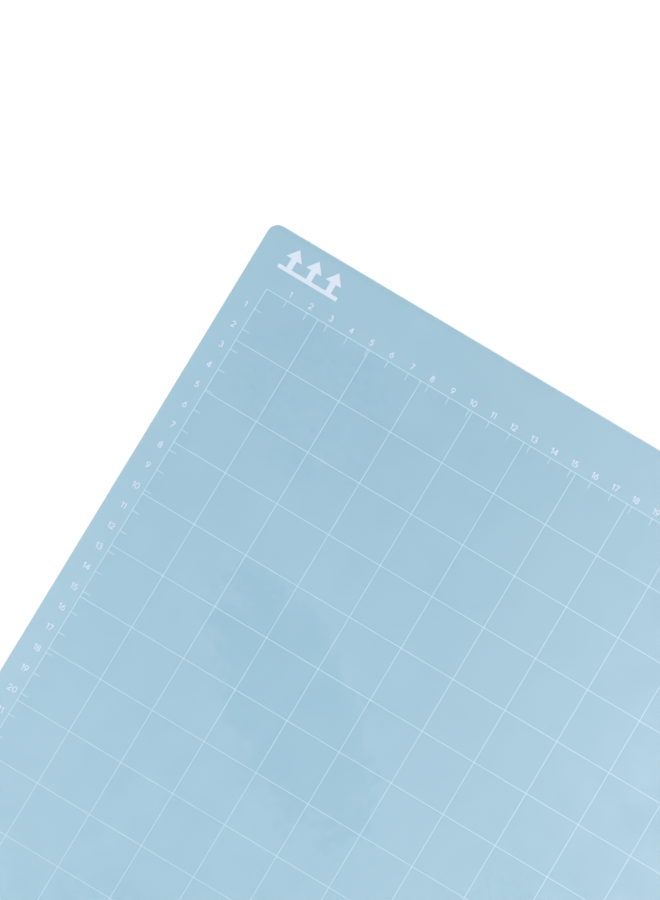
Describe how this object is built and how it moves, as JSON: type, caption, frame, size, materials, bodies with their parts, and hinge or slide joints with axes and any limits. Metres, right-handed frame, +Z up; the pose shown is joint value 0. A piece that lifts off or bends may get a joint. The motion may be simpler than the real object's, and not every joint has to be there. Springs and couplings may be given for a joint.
{
  "type": "adhesive cutting mat",
  "caption": "Thin translucent blue plastic cutting mat with a printed inch grid, centimetre scales, a tacky coat and a clear peel-off cover film.",
  "frame": {"origin": "on the underside, under the middle of the mat's outline", "axes": "+X to the right along the edge with the arrows, +Y towards that edge, which is fed in first, +Z up out of the printed face"},
  "size_m": [0.3296, 0.3556, 0.0011],
  "materials": {
    "blue_sheet": "light blue translucent plastic, satin",
    "white_ink": "white screen print",
    "tacky_coat": "clear low-tack adhesive, slightly uneven",
    "clear_film": "clear glossy film"
  },
  "bodies": {
    "mat": {"carrier_sheet": "blue_sheet", "printed_grid": "white_ink", "feed_arrows": "white_ink", "adhesive_layer": "tacky_coat"},
    "film": {"cover_film": "clear_film"}
  },
  "joints": [
    {"name": "film_peel", "type": "hinge", "parent": "mat", "child": "film", "pos_m": [0, 0.1778, 0.00098], "axis": [-1, 0, 0], "range_deg": [0, 170]}
  ]
}
